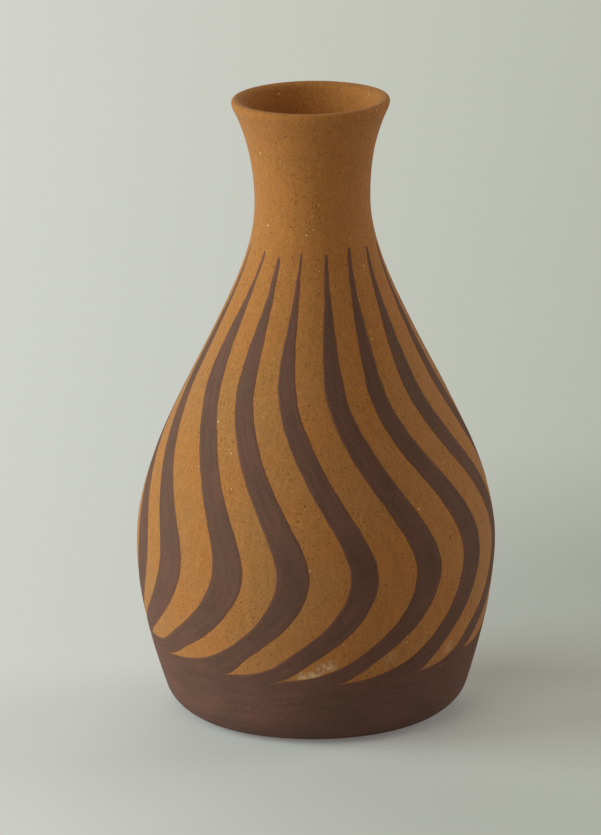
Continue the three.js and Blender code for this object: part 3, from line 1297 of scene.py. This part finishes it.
@dataclass
class Studio:
    """The camera, the lamps, the world and the floor.

    The floor goes from floor_left to floor_right over floor_fade either side of the middle. At
    floor_depth behind the pot, that change is 1 / floor_narrow times as wide and the floor is
    floor_lift times as light. Both are painted light: the floor is lighter towards the window on
    the left and farther back. The camera's pitch, yaw and roll are in radians, and its sight is in
    metres.
    """

    film_width: float = 36.0
    focal_length: float = 355.28
    sight: float = 100.0
    camera_back: float = 4500.0
    camera_up: float = 1390.0
    pitch: float = 0.26474871
    yaw: float = 0.0017214
    roll: float = 0.0101166
    aim_height: float = 150.0
    ambient: Triple = (0.153, 0.143, 0.09)
    beyond: Triple = (0.55, 0.57, 0.53)
    floor_left: Colour = (0.705, 0.695, 0.735, 1)
    floor_right: Colour = (0.470, 0.476, 0.462, 1)
    floor_roughness: float = 0.95
    floor_gloss: float = 0.1
    floor_glow: float = 0.2
    floor_fade: float = 250.0
    floor_depth: float = 1900.0
    floor_narrow: float = 0.65
    floor_lift: float = 1.13
    floor_radius: float = 9000.0
    floor_corners: int = 96
    shades: tuple[FloorShade, ...] = (
        FloorShade((210, 280, 0), 280, 0.17),
        FloorShade((75, -210, 0), 240, 0.13),
    )
    lamps: tuple[SoftLamp, ...] = (
        SoftLamp("window", -85, 12, 6000, 4500, 1.13, (1, 1.21, 1.11)),
        SoftLamp("room", -28, 40, 5000, 3000, 0.25, (1, 0.98, 0.85)),
        SoftLamp("back", 175, 50, 5000, 3500, 0.14, (1, 0.98, 0.85)),
        SoftLamp("bounce", 110, 12, 5000, 3000, 0.42, (1, 0.99, 0.84)),
    )

    def camera(self) -> None:
        """Places the camera at the photograph's viewing angle."""
        data = bpy.data.cameras.new("view")
        data.sensor_width = self.film_width
        data.lens = self.focal_length
        data.clip_end = self.sight
        eye = stand("view", data)
        place = Matrix.Translation((0, -self.camera_back * MM, self.camera_up * MM))
        turn = Matrix.Rotation(self.yaw, 4, "Z") @ Matrix.Rotation(math.pi / 2 - self.pitch, 4, "X")
        eye.matrix_world = place @ turn @ Matrix.Rotation(-self.roll, 4, "Z")
        bpy.context.scene.camera = eye

    def lamp(self, lamp: SoftLamp) -> None:
        """Adds one area lamp. Its power is light times the square of pi times its distance in metres.

        Args:
            lamp: The lamp.
        """
        data = bpy.data.lights.new(lamp.name, "AREA")
        data.shape = "SQUARE"
        data.size = lamp.size * MM
        data.color = lamp.tint
        data.energy = lamp.light * (math.pi * lamp.distance * MM) ** 2
        turn = Matrix.Rotation(math.radians(lamp.azimuth), 4, "Z")
        tip = Matrix.Rotation(math.radians(90 - lamp.elevation), 4, "X")
        away = Matrix.Translation((0, 0, lamp.distance * MM))
        aim = Matrix.Translation((0, 0, self.aim_height * MM))
        stand(lamp.name, data).matrix_world = aim @ turn @ tip @ away

    def world(self) -> None:
        """An even dim sky for the object, and a plain pale one where the camera sees past the floor."""
        world = bpy.data.worlds.new("studio")
        bpy.context.scene.world = world
        world.use_nodes = True
        tree = world.node_tree
        sky = tree.nodes["Background"]
        far = tree.nodes.new("ShaderNodeBackground")
        path = tree.nodes.new("ShaderNodeLightPath")
        mix = tree.nodes.new("ShaderNodeMixShader")
        tree.links.new(path.outputs["Is Camera Ray"], mix.inputs[0])
        for number, (light, colour) in enumerate(((sky, self.ambient), (far, self.beyond)), 1):
            light.inputs["Color"].default_value = (*colour, 1)
            tree.links.new(light.outputs[0], mix.inputs[number])
        tree.links.new(mix.outputs[0], tree.nodes["World Output"].inputs["Surface"])

    def floor(self) -> None:
        """A wide round floor of plain pale paper, a little darker to the right and in front by painted
        shade.

        Its faint glow stands for the light that walls and ceiling send under the belly. Soft round
        shades lie behind the pot on its right, and in front of it.
        """
        paint = Painter("paper_floor")
        right, back, _ = paint.axes(paint.millimetres)
        # Painted light: the floor's colour is lighter on the left, towards the window, and lighter
        # farther back.
        narrow = paint.remap(back, 0, self.floor_depth, 1, self.floor_narrow)
        reach = self.floor_fade
        across = paint.remap(paint.calc("MULTIPLY", right, narrow), -reach, reach, 0, 1)
        colour = paint.mix(across, self.floor_left, self.floor_right)
        colour = paint.scaled(colour, paint.remap(back, 0, self.floor_depth, 1, self.floor_lift))
        for shade in self.shades:
            away = paint.distance(shade.place)
            colour = paint.scaled(colour, paint.remap(away, 0, shade.reach, 1 - shade.depth, 1))
        paint.finish(colour, self.floor_roughness, self.floor_gloss)
        paint.fill(paint.shader, {"Emission Color": colour, "Emission Strength": self.floor_glow})
        angle = np.linspace(0, FULL_TURN, self.floor_corners, endpoint=False)
        ring = turned(angle, np.full_like(angle, self.floor_radius), np.zeros_like(angle)) * MM
        mesh = bpy.data.meshes.new("paper_floor")
        mesh.from_pydata(ring.tolist(), [], [list(range(self.floor_corners))])
        mesh.materials.append(paint.material)
        stand("paper_floor", mesh)

    def build(self) -> None:
        """Sets up the whole studio."""
        self.camera()
        for lamp in self.lamps:
            self.lamp(lamp)
        self.world()
        self.floor()
        bpy.context.scene.view_settings.view_transform = "Standard"


def main() -> None:
    """Builds the studio, the clay body and the slip on it."""
    logging.basicConfig(level=logging.INFO, format="%(name)s %(message)s")
    surface = PotSurface()
    Studio().build()
    log.info("studio is set up")
    ClayBody(surface, BareClay().material(surface)).build()
    log.info("clay body is built")
    StripeSet(surface, BrushedSlip().material()).build()
    log.info("stripes and band are built")


if __name__ == "__main__":
    main()
